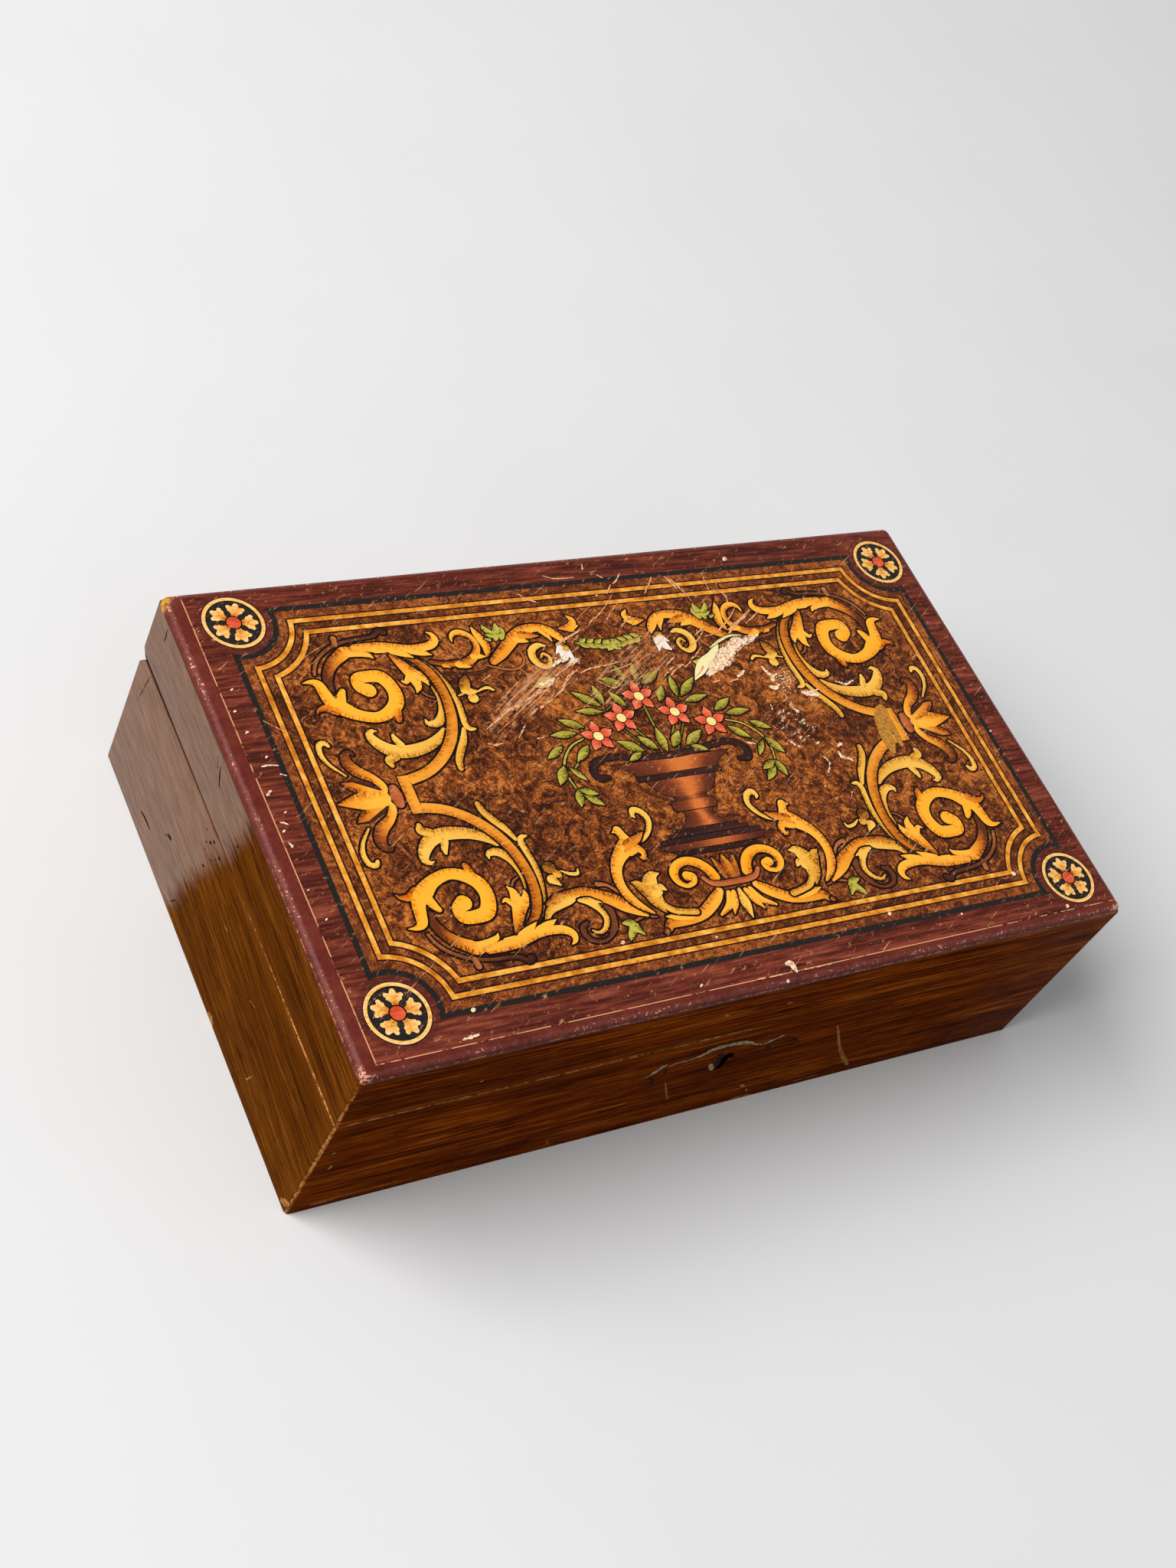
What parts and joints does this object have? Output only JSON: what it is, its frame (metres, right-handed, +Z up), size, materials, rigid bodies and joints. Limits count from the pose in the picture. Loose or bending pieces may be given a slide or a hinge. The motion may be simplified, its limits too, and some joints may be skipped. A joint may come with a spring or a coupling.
{
  "type": "stationery box",
  "caption": "Low rectangular wooden box with a hinged lid, a printed floral panel on top, a keyhole and lock at the front, and wells inside for paper and pens.",
  "frame": {"origin": "centre of the underside of the box", "axes": "+X to the right along the front, +Y towards the hinges at the back, +Z up; the keyhole faces -Y"},
  "size_m": [0.25, 0.15, 0.071],
  "materials": {
    "dark_wood": "worn varnish",
    "bare_wood": "bare",
    "painted_edge": "worn gloss paint",
    "printed_paper": "printed and varnished",
    "lining_paper": "matt",
    "brass": "aged",
    "iron": "dull"
  },
  "bodies": {
    "base": {"base_front": "dark_wood", "base_back": "dark_wood", "base_left": "dark_wood", "base_right": "dark_wood", "bottom_board": "bare_wood", "bottom_pins": "iron", "floor_paper": "lining_paper", "divider": "bare_wood", "hinge_left_base_leaf": "brass", "hinge_right_base_leaf": "brass", "hinge_left_pin": "iron", "hinge_right_pin": "iron", "hinge_base_screws": "brass", "lock_plate": "brass", "lock_case": "iron", "lock_spring": "iron", "lock_drill_pin": "iron", "lock_screws": "iron"},
    "lid": {"lid_panel": "painted_edge", "lid_front": "dark_wood", "lid_back": "dark_wood", "lid_left": "dark_wood", "lid_right": "dark_wood", "printed_sheet": "printed_paper", "lid_paper": "lining_paper", "hinge_left_lid_leaf": "brass", "hinge_right_lid_leaf": "brass", "hinge_lid_screws": "brass", "link_plate": "brass", "link_staples": "brass", "link_screws": "iron"},
    "bolt": {"lock_bolt": "brass"}
  },
  "joints": [
    {"name": "lid_hinge", "type": "hinge", "parent": "base", "child": "lid", "pos_m": [0, 0.072, 0.0472], "axis": [-1, 0, 0], "range_deg": [0, 100]},
    {"name": "bolt_slide", "type": "slide", "parent": "base", "child": "bolt", "axis": [1, 0, 0], "range_m": [0, 0.004]}
  ]
}
